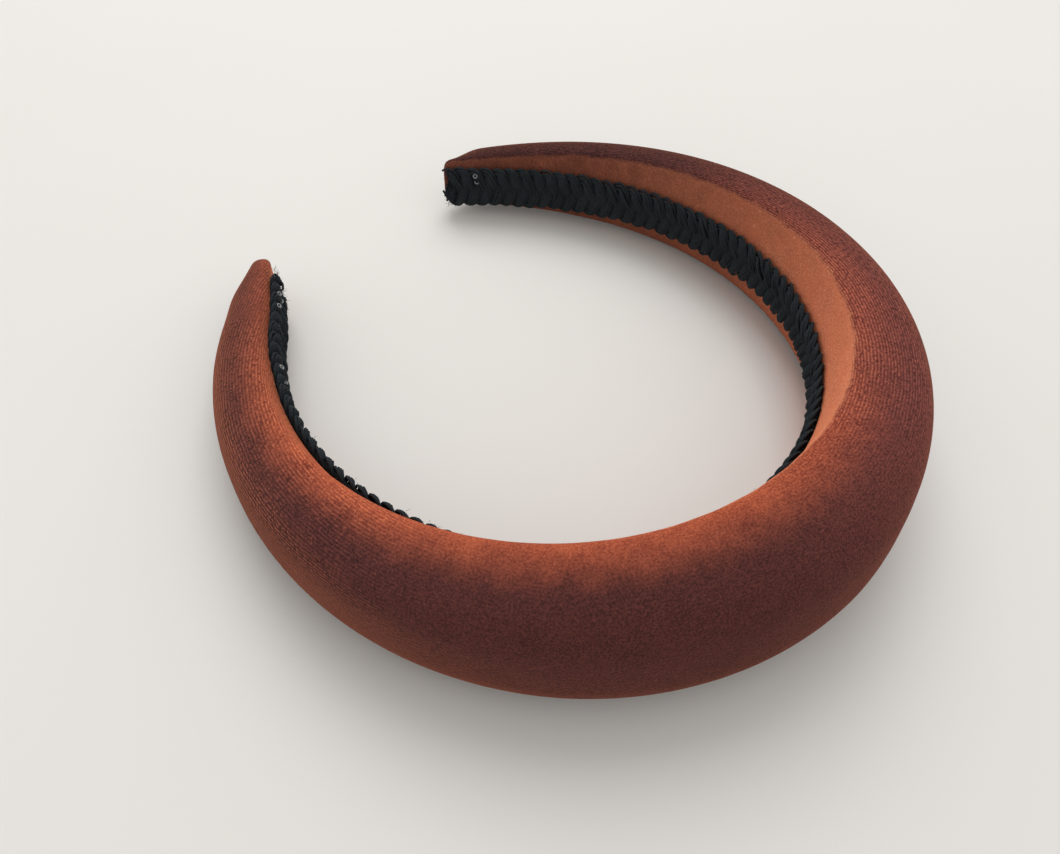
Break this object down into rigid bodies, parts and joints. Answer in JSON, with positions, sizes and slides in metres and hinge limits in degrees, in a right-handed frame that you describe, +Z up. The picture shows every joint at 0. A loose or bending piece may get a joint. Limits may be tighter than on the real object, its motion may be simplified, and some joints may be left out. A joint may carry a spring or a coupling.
{
  "type": "padded headband",
  "caption": "Padded headband in stretch velvet: springy band, crescent foam pad, velvet cover and plaited gimp braid inside, tips that spring apart.",
  "frame": {"origin": "bottom centre of the whole headband as it lies on its side on a table", "axes": "+Z up from the table, -Y towards the crown, +Y towards the two tips, +X towards the right tip; the headband is symmetric about the plane x = 0"},
  "size_m": [0.1544, 0.1522, 0.0394],
  "materials": {
    "velvet": "rust stretch velvet with a short pile, darker where the pile faces the eye and bright along its edges",
    "foam": "cream open-cell foam, inside the cover",
    "band_plastic": "moulded springy plastic, inside the cover",
    "gimp_braid": "black plaited yarn with fine ribs and loose fibres",
    "hot_glue": "clear whitish hot-melt glue"
  },
  "bodies": {
    "left_half": {"velvet_cover_left": "velvet", "foam_pad_left": "foam", "spring_band": "band_plastic", "gimp_braid_left": "gimp_braid", "glue_line_left": "hot_glue", "tip_glue_left": "hot_glue"},
    "right_half": {"velvet_cover_right": "velvet", "foam_pad_right": "foam", "gimp_braid_right": "gimp_braid", "glue_line_right": "hot_glue", "tip_glue_right": "hot_glue"}
  },
  "joints": [
    {"name": "crown_flex", "type": "hinge", "parent": "left_half", "child": "right_half", "pos_m": [0, -0.0767, 0.0215], "axis": [0, -0.0906, -0.9959], "range_deg": [0, 22], "stiffness_Nm_per_rad": 0.47, "deforming": ["spring_band"]}
  ]
}
